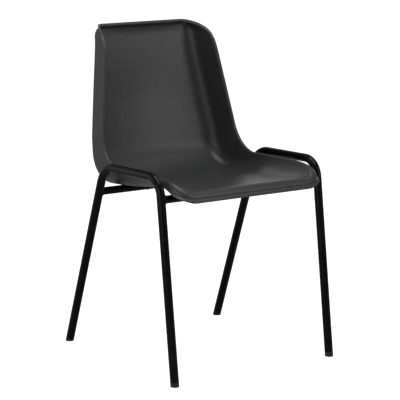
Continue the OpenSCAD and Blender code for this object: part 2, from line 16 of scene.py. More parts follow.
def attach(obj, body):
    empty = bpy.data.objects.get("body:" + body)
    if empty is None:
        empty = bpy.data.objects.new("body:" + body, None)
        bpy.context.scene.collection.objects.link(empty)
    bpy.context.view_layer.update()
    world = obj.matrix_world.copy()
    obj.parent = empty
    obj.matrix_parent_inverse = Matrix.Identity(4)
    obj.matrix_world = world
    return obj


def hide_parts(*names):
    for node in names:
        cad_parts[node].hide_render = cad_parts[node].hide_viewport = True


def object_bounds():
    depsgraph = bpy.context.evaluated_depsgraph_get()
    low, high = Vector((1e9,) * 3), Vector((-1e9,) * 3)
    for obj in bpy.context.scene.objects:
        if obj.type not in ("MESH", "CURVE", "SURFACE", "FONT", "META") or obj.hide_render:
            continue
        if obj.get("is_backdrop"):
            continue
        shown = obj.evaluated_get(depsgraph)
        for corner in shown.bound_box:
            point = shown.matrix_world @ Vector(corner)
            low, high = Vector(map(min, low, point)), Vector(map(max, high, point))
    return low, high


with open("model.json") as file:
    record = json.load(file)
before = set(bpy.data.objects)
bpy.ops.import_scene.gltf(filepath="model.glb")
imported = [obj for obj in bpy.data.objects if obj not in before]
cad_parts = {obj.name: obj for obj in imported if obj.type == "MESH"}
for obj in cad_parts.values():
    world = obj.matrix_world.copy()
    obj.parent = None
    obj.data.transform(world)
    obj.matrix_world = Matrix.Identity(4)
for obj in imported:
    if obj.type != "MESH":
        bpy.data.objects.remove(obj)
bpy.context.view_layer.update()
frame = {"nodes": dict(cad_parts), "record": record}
MM = 0.001

# %% [markdown]
# ## Camera
# The photograph was taken from well above the seat, about 34 degrees round towards the side that
# the names call left, with a long lens. A camera can be placed by eye, or worked out from points
# whose real places are known. Here the four feet and the two bent tubes gave both its place and
# its lens, so the render can be laid over the photograph.

# %% Camera at the photograph's place
CAMERA_AT = Vector((-2.5310, -3.7158, 1.2777))
AZIMUTH, ELEVATION = math.radians(-34.351), math.radians(11.058)
LENS, SENSOR_WIDTH, VIEW_DEPTH = 158.29, 36.0, 60.0
back = Vector((
    math.sin(AZIMUTH) * math.cos(ELEVATION),
    -math.cos(AZIMUTH) * math.cos(ELEVATION),
    math.sin(ELEVATION),
))
camera_data = bpy.data.cameras.new("photo_camera")
camera_data.lens = LENS
camera_data.sensor_width = SENSOR_WIDTH
camera_data.clip_end = VIEW_DEPTH
camera = bpy.data.objects.new("photo_camera", camera_data)
bpy.context.scene.collection.objects.link(camera)
camera.rotation_mode = "QUATERNION"
camera.location = CAMERA_AT
camera.rotation_quaternion = (-back).to_track_quat("-Z", "Y")
bpy.context.scene.camera = camera
print("camera", [round(v, 3) for v in camera.location], "lens", LENS)

# %% [markdown]
# ## Studio
# The chair stands on white with hardly a shadow. Satin plastic and black enamel show what is
# round them, so the light decides their look. A single sun is quick, but it leaves hard spots.
# Five soft boxes are used instead: a square one overhead, a tall narrow one at the front right
# that the leaning back mirrors, and broad weak ones at the left and behind for the slow gradients
# on the walls and the seat. The room between them is dark, which keeps the tubes black. World and
# floor are white only to the camera, as in a cut-out studio picture.

# %% Room
WHITE = (1.0, 1.0, 1.0, 1.0)
# Strength of the world as the camera sees it, and as it lights the chair
WORLD_SEEN, ROOM_LIGHT = 1.05, 0.22
scene = bpy.context.scene
scene.view_settings.view_transform = "Standard"

world = bpy.data.worlds.new("studio")
world.use_nodes = True
scene.world = world
wn, wl = world.node_tree.nodes, world.node_tree.links
wn.clear()
to_camera = wn.new("ShaderNodeBackground")
to_camera.inputs["Color"].default_value = WHITE
to_camera.inputs["Strength"].default_value = WORLD_SEEN
to_room = wn.new("ShaderNodeBackground")
to_room.inputs["Color"].default_value = WHITE
to_room.inputs["Strength"].default_value = ROOM_LIGHT
path = wn.new("ShaderNodeLightPath")
choose = wn.new("ShaderNodeMixShader")
world_out = wn.new("ShaderNodeOutputWorld")
wl.new(path.outputs["Is Camera Ray"], choose.inputs["Fac"])
wl.new(to_room.outputs[0], choose.inputs[1])
wl.new(to_camera.outputs[0], choose.inputs[2])
wl.new(choose.outputs[0], world_out.inputs["Surface"])
print("world seen", WORLD_SEEN, "and lighting", ROOM_LIGHT)

# %% Floor
FLOOR_SIZE, FLOOR_Z = 40.0, -0.0002
PAPER_GREY, PAPER_ROUGHNESS, PAPER_SHINE = 0.4, 0.9, 0.1
# Glow of the paper on everything, and the glow that only the camera sees
PAPER_LIGHT, PAPER_SEEN = 0.05, 1.0


def floor_sheet(size, z):
    """A flat square sheet of four corners, marked as stage."""
    mesh = bpy.data.meshes.new("studio_floor")
    half = size / 2
    corners = [(-half, -half, z), (half, -half, z), (half, half, z), (-half, half, z)]
    mesh.from_pydata(corners, [], [(0, 1, 2, 3)])
    obj = bpy.data.objects.new("studio_floor", mesh)
    scene.collection.objects.link(obj)
    obj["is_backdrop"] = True
    return obj


floor = floor_sheet(FLOOR_SIZE, FLOOR_Z)
paper = bpy.data.materials.new("white_paper")
paper.use_nodes = True
pn, pl = paper.node_tree.nodes, paper.node_tree.links
sheet_bsdf = pn["Principled BSDF"]
sheet_bsdf.inputs["Base Color"].default_value = (PAPER_GREY, PAPER_GREY, PAPER_GREY, 1)
sheet_bsdf.inputs["Roughness"].default_value = PAPER_ROUGHNESS
sheet_bsdf.inputs["Specular IOR Level"].default_value = PAPER_SHINE
sheet_bsdf.inputs["Emission Color"].default_value = WHITE
sheet_bsdf.inputs["Emission Strength"].default_value = PAPER_LIGHT
glow = pn.new("ShaderNodeEmission")
glow.inputs["Strength"].default_value = PAPER_SEEN
lit = pn.new("ShaderNodeAddShader")
seen = pn.new("ShaderNodeLightPath")
pick = pn.new("ShaderNodeMixShader")
pl.new(sheet_bsdf.outputs[0], lit.inputs[0])
pl.new(glow.outputs[0], lit.inputs[1])
pl.new(seen.outputs["Is Camera Ray"], pick.inputs["Fac"])
pl.new(sheet_bsdf.outputs[0], pick.inputs[1])
pl.new(lit.outputs[0], pick.inputs[2])
pl.new(pick.outputs[0], pn["Material Output"].inputs["Surface"])
floor.data.materials.append(paper)
print("floor", tuple(round(v, 2) for v in floor.dimensions))

# %% Soft boxes
BACK_FOOT, SEAT_LEVEL = (0, 0, 0.6), (0, 0, 0.5)
# Place, aim, and width and height in metres, and how bright the face looks
SOFT_BOXES = {
    "box_over": ((0.0, -0.3, 2.8), SEAT_LEVEL, (2.0, 2.0), 2.5),
    "box_front_right": ((1.62, -3.0, 1.9), BACK_FOOT, (0.7, 2.8), 3.3),
    "box_left": ((-3.15, -1.0, 1.2), BACK_FOOT, (3.4, 2.2), 0.95),
    "box_behind_right": ((2.4, 2.8, 1.1), BACK_FOOT, (3.8, 2.2), 0.62),
    "box_behind_left": ((-2.6, 2.2, 1.3), BACK_FOOT, (2.8, 2.8), 0.7),
}


def soft_box(name, at, aim, size, glow):
    """An area light at one place, aimed at another; glow is how bright its face looks."""
    data = bpy.data.lights.new(name, "AREA")
    data.shape = "RECTANGLE"
    data.size, data.size_y = size
    data.energy = glow * math.pi * size[0] * size[1]
    obj = bpy.data.objects.new(name, data)
    scene.collection.objects.link(obj)
    obj.location = at
    obj.rotation_euler = (Vector(aim) - Vector(at)).to_track_quat("-Z", "Y").to_euler()
    obj.visible_camera = False
    return obj


for name, values in SOFT_BOXES.items():
    soft_box(name, *values)

# %% [markdown]
# ## The bucket
# On the real chair the seat is one injection moulding about 4 mm thick. A flat pan runs through
# one bend into a leaning back, side walls stand up along both, and the edge is rolled outwards
# all round so that it is smooth to the hand and stiff. It could be sculpted, or pulled from a
# subdivided cage, but a formula is better here: the solid in the CAD is made by the same one, so
# the fine mesh stays inside the coarse solid's box. The back is hollowed more deeply here than in
# the solid, and its top curls forward less, as the soft shading in the photograph shows. The
# outline is drawn in the YZ plane first, as pairs (y, z) in millimetres.

# %% Lines of the frame that carry the seat
LEAN_FRONT, LEAN_REAR = math.radians(7.27), math.radians(20.65)
HALF_SPAN, SIDE_X = 256.0, 241.0
TUBE_R, RAIL_R = 11.0, 10.0
FRONT_RAIL_Z, REAR_RAIL_Z = 457.0, 433.0


def pair(*v):
    return np.array(v, float)


def square_to(d):
    """The direction a quarter turn up from d."""
    return pair(-d[1], d[0])


def meet(p, d, q, e):
    """Where the line through p along d meets the line through q along e."""
    s = q - p
    return p + d * (s[0] * e[1] - s[1] * e[0]) / (d[0] * e[1] - d[1] * e[0])


front_rail = pair(-HALF_SPAN + FRONT_RAIL_Z * math.tan(LEAN_FRONT), FRONT_RAIL_Z)
rear_rail = pair(HALF_SPAN - REAR_RAIL_Z * math.tan(LEAN_REAR), REAR_RAIL_Z)
pan_dir = (rear_rail - front_rail) / np.linalg.norm(rear_rail - front_rail)
pan_up = square_to(pan_dir)
print("rails at", front_rail.round(1), rear_rail.round(1))

# %% Lines of the bucket
# Thickness of wall and lip, and the sitting surface's height over the line between the rails
WALL, LIP_WALL, SEAT_DROP = 4.0, 2.6, 16.9
# Lean of the back, height of its top, radius of the bend, and how far its corner is behind the rail
RAKE, TOP_Z, BEND_R, CORNER_BEHIND = math.radians(10.5), 835.0, 80.0, 97.0
# Height of the side walls over each rail, and the inner radius of their rim
RIM_FRONT, RIM_REAR, RIM_R = 30.5, 42.5, 92.0
# Depth of the wings beside the back, and how they fall away to the crest
WING, WING_RUN, WING_POWER, WING_LANDING = 84.0, 115.0, 6.5, 0.8
# Forward curl of the crest and its radius, and the radius of the two top corners
CURL, CURL_R, TOP_CORNER = 4.0, 8.0, 28.5
# Half width beside the seat, and how it narrows up the back
HALF_W, TAPER, TAPER_Z, TAPER_SOFT = 212.5, 0.152, 500.0, 25.0
# Fillet between floor and wall: on the back, at the front, where it widens, and less at the top corner
FILLET, FILLET_FRONT, FILLET_START, FILLET_RUN, FILLET_CORNER = 30.0, 88.0, 60.0, 170.0, 10.0
# Draft of the walls, low and high
FLARE_LOW, FLARE_HIGH = math.radians(3.5), math.radians(7)
# Depth of the hollow across seat, back and top, its power, and the heights where the back's fades
DISH_SEAT, DISH_BACK, DISH_TOP, DISH_POWER, DISH_FADE = 2.0, 25.0, 7.7, 2, (620.0, 830.0)
# How far the front edge is ahead of the rail, and the shape of the rounded corners beside it
ROLL_AHEAD, CORNER_W, CORNER_D, CORNER_POWER, WALL_FADE = 26.0, 38.5, 140.0, 3.4, 0.94

back_dir = pair(math.sin(RAKE), math.cos(RAKE))
back_up = square_to(back_dir)
pan_rear, pan_front = rear_rail + pan_up * SEAT_DROP, front_rail + pan_up * SEAT_DROP
seat_corner = pan_rear + pan_dir * CORNER_BEHIND
pan_slope = -math.atan2(pan_dir[1], pan_dir[0])
bend_run = BEND_R * math.tan((math.pi / 2 - RAKE + pan_slope) / 2)
bend_centre = seat_corner - pan_dir * bend_run + pan_up * BEND_R
rim_front, rim_rear = pan_front + pan_up * RIM_FRONT, pan_rear + pan_up * RIM_REAR
rim_dir = (rim_rear - rim_front) / np.linalg.norm(rim_rear - rim_front)
rim_up = square_to(rim_dir)
rim_centre = meet(rim_front + rim_up * RIM_R, rim_dir, seat_corner + back_up * (WING + RIM_R), back_dir)
print("seat corner", seat_corner.round(1), "rim centre", rim_centre.round(1))


# %% Where a ray from the rim centre meets the floor of the bucket
def floor_hit(d):
    """Point and normal of the floor line that a ray from the rim centre meets."""
    reach = rim_centre - bend_centre
    b = reach @ d
    disc = b * b - reach @ reach + BEND_R ** 2
    if disc > 0:
        point = rim_centre + d * (math.sqrt(disc) - b)
        out = (point - bend_centre) / BEND_R
        if out @ pan_dir >= 0 and out @ back_dir <= 0:
            return point, -out
    on_pan = meet(rim_centre, d, seat_corner, pan_dir)
    if (on_pan - seat_corner) @ pan_dir <= -bend_run:
        return on_pan, pan_up
    return meet(rim_centre, d, seat_corner, back_dir), back_up


def half_width(z):
    """Half width of the rim at a height: straight beside the seat, then narrowing."""
    soft = math.log1p(math.exp((z - TAPER_Z) / TAPER_SOFT))
    return HALF_W - TAPER * TAPER_SOFT * soft


back_foot = floor_hit(-back_up)[0]
back_length = (TOP_Z - back_foot[1]) / back_dir[1]
print("back starts at", back_foot.round(1), "and is", round(back_length, 1), "long")

# %% [markdown]
# A lofted sheet needs stations: cross sections set one after another along the profile. They
# could be drawn one by one, but a formula for each stretch keeps them even. Five groups follow
# each other here, from the rounded front corner, along the seat, round the bend and up the back
# to the top corner. Each station keeps its floor point, its floor normal, its rim point, its half
# width, its forward curl, its corner angle and its place, so that one function can draw them all.

# %% Stations beside the seat
STEPS = dict(corner=16, side=14, bend=22, back=16, top=18)
Station = namedtuple("Station", "base normal rim width curl corner place")
quarter = math.pi / 2


def on_line(p, d, y):
    """Point at y on the line through p along d."""
    return p + d * (y - p[0]) / d[0]


roll_y = front_rail[0] - ROLL_AHEAD
corner_y = roll_y + CORNER_D


def front_station(b):
    """Station of the rounded front corner, from the front edge at a quarter turn to the side at 0."""
    y = corner_y - CORNER_D * math.sin(b) ** (2 / CORNER_POWER)
    base = on_line(pan_front, pan_dir, y)
    rise = (on_line(rim_front, rim_dir, y) - base) @ pan_up * math.cos(b) ** WALL_FADE
    width = HALF_W - CORNER_W + CORNER_W * max(math.cos(b), 0) ** (2 / CORNER_POWER)
    return Station(base, pan_up, base + pan_up * rise, width, 0.0, b, "front")


def side_station(t):
    """Station beside the seat, at a share t of the way back."""
    start, end = on_line(pan_front, pan_dir, corner_y), floor_hit(-rim_up)[0]
    rim_a, rim_b = on_line(rim_front, rim_dir, corner_y), rim_centre - rim_up * RIM_R
    rim = rim_a + (rim_b - rim_a) * t
    return Station(start + (end - start) * t, pan_up, rim, HALF_W, 0.0, 0.0, "side")


stations = [front_station(quarter - quarter * k / STEPS["corner"]) for k in range(STEPS["corner"])]
stations += [side_station(k / STEPS["side"]) for k in range(STEPS["side"])]
print("stations of the seat", len(stations))


# %% Stations of the bend and the back
def bend_station(t):
    """Station in the bend, at a share t of its turn."""
    a0, a1 = math.atan2(-rim_up[1], -rim_up[0]), math.atan2(-back_up[1], -back_up[0])
    a = a0 + (a1 - a0) * t
    d = pair(math.cos(a), math.sin(a))
    point, normal = floor_hit(d)
    rim = rim_centre + d * RIM_R
    return Station(point, normal, rim, half_width(rim[1]), 0.0, 0.0, "side")


def back_station(run, b):
    """Station this far up the back; b turns from 0 to a quarter round the top corner."""
    u = min(max((run - back_length + WING_RUN) / WING_RUN, 0), 1)
    wing = CURL + (WING - CURL) * (1 - u ** WING_POWER) ** WING_LANDING
    past = max(run - back_length + math.sqrt(CURL_R ** 2 - (CURL_R - CURL) ** 2), 0)
    curl = CURL_R - math.sqrt(max(CURL_R ** 2 - past ** 2, 0))
    base = back_foot + back_dir * run
    drop = math.tan(RAKE) * min(run / back_length, 1)
    rim = base + back_up * wing - back_dir * wing * drop
    width = half_width((base + back_up * WING)[1]) - TOP_CORNER * (1 - math.cos(b))
    return Station(base, back_up, rim, width, curl, b, "top" if b > 0 else "side")


top_start = back_length - TOP_CORNER
stations += [bend_station(k / STEPS["bend"]) for k in range(STEPS["bend"])]
stations += [back_station(top_start * k / STEPS["back"], 0) for k in range(STEPS["back"])]
for k in range(STEPS["top"] + 1):
    b = quarter * k / STEPS["top"]
    stations.append(back_station(top_start + TOP_CORNER * math.sin(b), b))
print("stations", len(stations))

# %% [markdown]
# One half of a cross section is a gently hollowed floor, a fillet and a wall that leans out by a
# few degrees, which is the draft that lets the moulding leave its tool. Its points could be set
# by height, but here they are spread by length along the section, so that the fillet is never
# starved of them.

# %% Fillet and lean of the walls
def mix(a, b, t):
    """The value a share t of the way from a to b."""
    return a + (b - a) * t


def ease(x):
    """A soft step: 0 up to x = 0, 1 from x = 1, and smooth between."""
    t = min(max(x, 0), 1)
    return t * t * (3 - 2 * t)


def flare_of(station):
    """Lean of a section's walls, more towards the top."""
    share = min(max((station.rim[1] - TAPER_Z) / (TOP_Z - TAPER_Z), 0), 1)
    return FLARE_LOW + (FLARE_HIGH - FLARE_LOW) * share


def fillet_of(station):
    """Fillet radius of a section, wider towards the front of the seat and tighter at the top corner."""
    tight = FILLET_CORNER * math.sin(station.corner) if station.place == "top" else 0
    return FILLET - tight + (FILLET_FRONT - FILLET) * ease((FILLET_START - station.rim[0]) / FILLET_RUN)


print("fillet at the front", round(fillet_of(stations[0]), 1), "and top", round(fillet_of(stations[-1]), 1))

# %% Half a cross section
# Steps across the floor, steps over the last stretch with the fillet, and that stretch's length
FLOOR_STEPS, WALL_STEPS, EDGE_RUN = 14, 28, 90.0
NO_LENGTH = 1e-6


def half_row(station):
    """Points (x, y, z) of half a section, from the middle of the floor to the rim."""
    base, n, rim, width, curl, b, place = station
    fillet = fillet_of(station)
    h = np.linalg.norm(rim - base)
    up = (rim - base) / h if h > NO_LENGTH else n
    lean = up @ n
    depth, flare = h * lean, flare_of(station)
    wall_h, wall_x = fillet * (1 - math.sin(flare)), fillet * math.cos(flare)
    full = depth >= wall_h
    turn = quarter - flare if full else math.acos(min(max(1 - depth / fillet, -1), 1))
    wall = (depth - wall_h) / math.cos(flare) if full else 0
    flat = width - (wall_x + wall * math.sin(flare) if full else fillet * math.sin(turn))
    arc = fillet * turn
    split = min(flat, flat + arc + wall - EDGE_RUN)
    hollow = mix(DISH_BACK, DISH_TOP, ease((base[1] - DISH_FADE[0]) / (DISH_FADE[1] - DISH_FADE[0])))
    dish = hollow + (DISH_SEAT - hollow) * min(max(n[1], 0), 1)
    dish *= 1 if place == "side" else math.cos(b) ** 2
    runs = [split * k / FLOOR_STEPS for k in range(FLOOR_STEPS)]
    runs += [split + (flat + arc + wall - split) * k / WALL_STEPS for k in range(WALL_STEPS + 1)]
    points = []
    for g in runs:
        d, x = 0.0, g
        if flat < g <= flat + arc:
            a = (g - flat) / fillet
            d, x = fillet * (1 - math.cos(a)), flat + fillet * math.sin(a)
        elif g > flat:
            climb = (g - flat - arc) * math.cos(flare)
            d, x = wall_h + climb, flat + wall_x + climb * math.tan(flare)
        bow = curl * (1 - min(d / max(depth, NO_LENGTH), 1))
        sag = dish * (1 - (x / width) ** DISH_POWER)
        p = base + up * (d / lean) + n * (bow - sag)
        points.append((x, p[0], p[1]))
    return points


sheet = np.array([half_row(s) for s in stations])
rows, cols = sheet.shape[:2]
print("half sheet", rows, "rows of", cols, "points")

# %% [markdown]
# The lip is rolled from the border of the sheet. A modifier could thicken and bevel the edge, but
# with one radius all round, and the real lip changes along its way. So a small frame is set up at
# each border point, from the direction along the edge and the floor normal, and the section turns
# round in it: tightly along the sides, with a large radius over the front edge where the thighs
# rest. Up the wings the frame turns over to the back's own plane, which keeps the crest even. The
# front ends in a small bead that is kicked out, which stiffens the free edge.

# %% Frames along the border
MIRROR = np.array([-1.0, 1.0, 1.0])

border = [(0, j) for j in range(cols - 1)] + [(i, cols - 1) for i in range(rows)]
border += [(rows - 1, j) for j in range(cols - 2, -1, -1)]
last = len(border) - 1


def unit(v):
    return v / np.linalg.norm(v)


def sheet_normals():
    """Unit normals of the half sheet, taken on the whole one so that the middle is even."""
    whole = np.concatenate([sheet[:, :0:-1] * MIRROR, sheet], axis=1)
    along, across = np.gradient(whole, axis=0), np.gradient(whole, axis=1)
    n = np.cross(across, along)
    return (n / np.linalg.norm(n, axis=2, keepdims=True))[:, cols - 1:]


def lip_frame(k):
    """Directions square to the floor and outwards at border point k, and the slope the sheet has there."""
    station = stations[border[k][0]]
    before = sheet[border[k - 1]] if k else sheet[border[1]] * MIRROR
    after = sheet[border[k + 1]] if k < last else sheet[border[last - 1]] * MIRROR
    along, b = unit(after - before), station.corner
    n = np.array([0, *station.normal])
    w = unit(n - along * (n @ along))
    e = np.cross(along, w)
    if station.normal is back_up:
        run = (station.base - back_foot) @ back_dir
        t = ease((run - back_length + WING_RUN) / (WING_RUN - TOP_CORNER))
        outwards = np.array([math.cos(b), *(back_dir * math.sin(b))])
        w, e = unit(mix(w, n, t)), unit(mix(e, outwards, t))
    if station.place == "top":
        return w, e, mix(flare_of(station), math.asin(1 - CURL / CURL_R), math.sin(b) ** 4)
    up = normals[border[k]]
    return w, e, min(max(math.atan2(up @ w, -(up @ e)), 0), quarter)


normals = sheet_normals()
frames = [lip_frame(k) for k in range(last + 1)]
print("frames along the border", len(frames))

# %% Roll the lip
# Steps of the roll, and the neighbours on each side that share its first slope
LIP_STEPS, LIP_BLEND = 9, 2
# Radius, last angle and straight skirt of the roll at each part of the rim
ROLL = dict(side=4.5, corner=4.5, front=18.8, top=5.0)
END = dict(side=math.radians(128), corner=math.radians(139), front=math.radians(190), top=math.radians(170))
SKIRT = dict(side=2.0, corner=12.0, front=1.0)
# Where the skirt begins behind the front corner, and the length over which it grows
SKIRT_START, SKIRT_RUN = 12.0, 100.0
# Length, turn and steps of the bead, and its share beside the seat
BEAD, BEAD_TURN, BEAD_STEPS, BEAD_SIDE, BEAD_CORNER = 9.5, math.radians(60), 3, 0.02, 0.12
# How the front's roll gathers its turn, and how the free edge is rounded
ROLL_SOFT, NOSE_PULL, NOSE_LIFT = 1.5, 0.55, 0.25


def lip_at(k):
    """Upper and lower points of the lip at border point k, out to the free edge."""
    here, station = sheet[border[k]], stations[border[k][0]]
    w, e = frames[k][:2]
    near = [frames[min(max(k + i, 0), last)][2] for i in range(-LIP_BLEND, LIP_BLEND + 1)]
    start = sum(near) / len(near)
    b, place = station.corner, station.place
    front = math.sin(b) ** 2 if place == "front" else 0
    top = math.sin(b) ** 2 if place == "top" else 0
    grow = ease((corner_y + SKIRT_START - here[1]) / SKIRT_RUN) if station.normal is pan_up else 0
    r = mix(mix(mix(ROLL["side"], ROLL["corner"], grow), ROLL["front"], front ** 2), ROLL["top"], top)
    skirt = mix(mix(SKIRT["side"], SKIRT["corner"], grow), SKIRT["front"], front ** 2)
    end = mix(mix(mix(END["side"], END["corner"], grow), END["front"], front), END["top"], top)
    bead = max(front, mix(BEAD_SIDE, BEAD_CORNER, grow))
    soft = mix(1, ROLL_SOFT, front)
    turns = [mix(start, end, (j / LIP_STEPS) ** soft) for j in range(LIP_STEPS + 1)]
    bends = [end - BEAD_TURN * bead * (j + 1) / BEAD_STEPS for j in range(BEAD_STEPS)]
    runs = [(r * (end - start) / LIP_STEPS, (a + c) / 2) for a, c in zip(turns, turns[1:])]
    runs += [(skirt, end)] + [(BEAD * bead / BEAD_STEPS, a) for a in bends]
    upper = [here]
    for length, a in runs:
        upper.append(upper[-1] + length * (w * math.cos(a) + e * math.sin(a)))
    turns += [(end + bends[0]) / 2] + [(a + c) / 2 for a, c in zip(bends, bends[1:])] + [bends[-1]]
    flick = bends[-1]
    faces = [w * math.sin(a) - e * math.cos(a) for a in turns]
    thick = [mix(WALL, LIP_WALL, j / (len(upper) - 1)) for j in range(len(upper))]
    lower = [u - f * t for u, f, t in zip(upper, faces, thick)]
    middle = (upper[-1] + lower[-1]) / 2
    nose = middle + 0.5 * LIP_WALL * (w * math.cos(flick) + e * math.sin(flick))
    cheeks = [mix(nose, p, NOSE_PULL) + NOSE_LIFT * (nose - middle) for p in (upper[-1], lower[-1])]
    return upper[1:] + [cheeks[0], nose, cheeks[1]] + lower[:0:-1], lower[0]


lips = [lip_at(k) for k in range(last + 1)]
print("lip rings", len(lips[0][0]), "of", 2 * last, "points")

# %% Stitch sheet, underside and lip into one closed mesh
under = sheet - normals * WALL
for k, (i, j) in enumerate(border):
    under[i, j] = lips[k][1]

wide = 2 * cols - 1
points, faces = [], []
for half in (sheet, under):
    points += list(np.concatenate([half[:, :0:-1] * MIRROR, half], axis=1).reshape(-1, 3))
ring = 2 * last
for j in range(len(lips[0][0])):
    points += [lips[k][0][j] if k <= last else lips[ring - k][0][j] * MIRROR for k in range(ring)]


def at_sheet(side, i, c):
    """Number of a point of the sitting side, 0, or of the underside, 1."""
    return side * rows * wide + i * wide + c


def at_ring(j, k):
    """Ring 0 is the upper border of the sheet, and the ring after the last is the lower one."""
    k %= ring
    if 0 < j <= len(lips[0][0]):
        return 2 * rows * wide + (j - 1) * ring + k
    i, c = border[k if k <= last else ring - k]
    return at_sheet(0 if j == 0 else 1, i, cols - 1 + (c if k <= last else -c))


for i in range(rows - 1):
    for c in range(wide - 1):
        q = [(i, c), (i, c + 1), (i + 1, c + 1), (i + 1, c)]
        faces.append([at_sheet(0, *p) for p in q])
        faces.append([at_sheet(1, *p) for p in reversed(q)])
for j in range(len(lips[0][0]) + 1):
    for k in range(ring):
        faces.append([at_ring(j, k + 1), at_ring(j, k), at_ring(j + 1, k), at_ring(j + 1, k + 1)])
print("bucket", len(points), "points", len(faces), "faces")

# %% [markdown]
# Four bosses stand under the seat where the frame is screwed on. They were moulded with the
# bucket, each a short drafted post with crossed fins that spread its load into the pan. Separate
# objects would be quick, but one moulding is one piece, so they are turned and cut from the same
# sizes as the solids and joined to the bucket's mesh.

# %% Bosses under the seat
LUG_X, LUG_REACH, LUG_T, LUG_HALF = 112.0, 28.0, 3.0, 13.0
BOSS_R, BOSS_DRAFT, BOSS_DROP = 9.5, math.radians(3), SEAT_DROP - WALL - LUG_T / 2
BORE_R, BORE_DEPTH, BORE_EDGE, BOSS_EDGE = 4.3, 10.0, 0.4, 0.5
FIN_T, FIN_REACH, FIN_ROOT, FIN_TURNS = 2.4, 21.0, BOSS_R - 1, (45, 225, 135, 315)
# How far bosses and fins are sunk into the pan
SUNK = 0.6
AROUND = 40


def fixing_frame(rail, x, way):
    """Matrix of a fixing point: Z square to the seat, origin on the sitting surface."""
    spot = rail + pan_up * SEAT_DROP + pan_dir * LUG_REACH * way
    return Matrix.Translation((x, spot[0], spot[1])) @ Matrix.Rotation(-pan_slope, 4, "X")


def lathe(profile, around=AROUND):
    """Points and faces of a profile of (r, z) pairs turned round Z."""
    pts = [
        (r * math.cos(2 * math.pi * k / around), r * math.sin(2 * math.pi * k / around), z)
        for r, z in profile
        for k in range(around)
    ]
    fcs = [
        (j + k, j + (k + 1) % around, j + around + (k + 1) % around, j + around + k)
        for j in range(0, (len(profile) - 1) * around, around)
        for k in range(around)
    ]
    return pts, fcs


def boss_parts():
    """One boss and its four fins, each as points and faces."""
    low, high = -WALL - BOSS_DROP, -WALL + SUNK
    spread = (high - low) * math.tan(BOSS_DRAFT)
    parts = [lathe([
        (BORE_R, low + BORE_DEPTH), (BORE_R, low + BORE_EDGE), (BORE_R + BORE_EDGE, low),
        (BOSS_R - BOSS_EDGE, low), (BOSS_R, low + BOSS_EDGE), (BOSS_R + spread, high),
    ])]
    out = [(FIN_ROOT, low + BOSS_DROP / 3), (FIN_REACH, low + BOSS_DROP), (FIN_REACH, high), (FIN_ROOT, high)]
    sides = [(0, 1, 2, 3), (7, 6, 5, 4), (1, 0, 4, 5), (2, 1, 5, 6), (3, 2, 6, 7), (0, 3, 7, 4)]
    for turn in FIN_TURNS:
        a = math.radians(turn)
        pts = [
            (r * math.cos(a) - t * math.sin(a), r * math.sin(a) + t * math.cos(a), z)
            for t in (-FIN_T / 2, FIN_T / 2)
            for r, z in out
        ]
        parts.append((pts, sides))
    return parts


for rail, way in ((front_rail, 1), (rear_rail, -1)):
    for x in (-LUG_X, LUG_X):
        placed = fixing_frame(rail, x, way)
        for pts, fcs in boss_parts():
            base = len(points)
            points += [np.array(placed @ Vector(p)) for p in pts]
            faces += [[base + v for v in f] for f in fcs]
print("with bosses", len(points), "points")

# %% Build the object
def piece(name, pts, fcs, sharp=40):
    """A mesh object from points in millimetres, smooth but for edges over an angle."""
    mesh = bpy.data.meshes.new(name)
    mesh.from_pydata([tuple(float(v) * MM for v in p) for p in pts], [], [tuple(f) for f in fcs])
    mesh.validate()
    mesh.shade_smooth()
    mesh.set_sharp_from_angle(angle=math.radians(sharp))
    obj = bpy.data.objects.new(name, mesh)
    scene.collection.objects.link(obj)
    return obj


shell = piece("bucket_shell", points, faces)
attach(shell, "root")
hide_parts("seat_shell")
print("bucket", [round(v / MM, 1) for v in shell.dimensions])

# %% [markdown]
# ## Welds
# The rails are welded to the legs, and the four lugs to the rails. A weld seen up close is a small
# fillet with ripples across it, laid by hand. It could be a bump in the enamel, but it fills the
# corner between two pieces, so it is real metal here: a tube swept along the joint, its radius
# swelling from ripple to ripple.

# %% Sweep a weld bead along a path
# Ripples: their pitch, their share of the radius, and the share and rate of the hand's unsteadiness
PITCH, RIPPLE, WANDER, WANDER_RATE = 1.7, 0.09, 0.05, 1.3
# An open bead starts at this share of its radius and swells at this rate
TIP_START, TIP_RATE = 0.35, 0.9
# A direction that no weld runs along
ASIDE = [0.31, 0.52, 0.79]
WELD_GAP = 0.2


def bead(name, path, radius, around=10, closed=True):
    """A rippled round bead along path, a list of points in millimetres."""
    p = np.array(path, float)
    n = len(p)
    step = np.linalg.norm(np.roll(p, -1, 0) - p, axis=1)
    run = np.concatenate([[0], np.cumsum(step)[:-1]])
    pts, fcs = [], []
    for i in range(n):
        if closed:
            t = p[(i + 1) % n] - p[i - 1]
        else:
            t = p[min(i + 1, n - 1)] - p[max(i - 1, 0)]
        t = unit(t)
        u = unit(np.cross(t, ASIDE))
        v = np.cross(t, u)
        from_end = min(run[i], run[-1] - run[i]) / (2 * radius)
        tip = 1.0 if closed else min(1.0, TIP_START + TIP_RATE * from_end)
        ripple = RIPPLE * math.sin(2 * math.pi * run[i] / PITCH)
        r = radius * tip * (1 + ripple + WANDER * math.sin(WANDER_RATE * i))
        for k in range(around):
            a = 2 * math.pi * k / around
            pts.append(p[i] + r * (math.cos(a) * u + math.sin(a) * v))
    for i in range(n if closed else n - 1):
        for k in range(around):
            a, b = i * around, ((i + 1) % n) * around
            fcs.append((a + k, a + (k + 1) % around, b + (k + 1) % around, b + k))
    if not closed:
        fcs += [tuple(range(around - 1, -1, -1)), tuple((n - 1) * around + k for k in range(around))]
    obj = piece(name, pts, fcs, sharp=80)
    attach(obj, "root")
    return obj


print("beads have a ripple every", PITCH, "mm")

# %% Weld the rails to the legs
RAIL_BEAD = 1.5


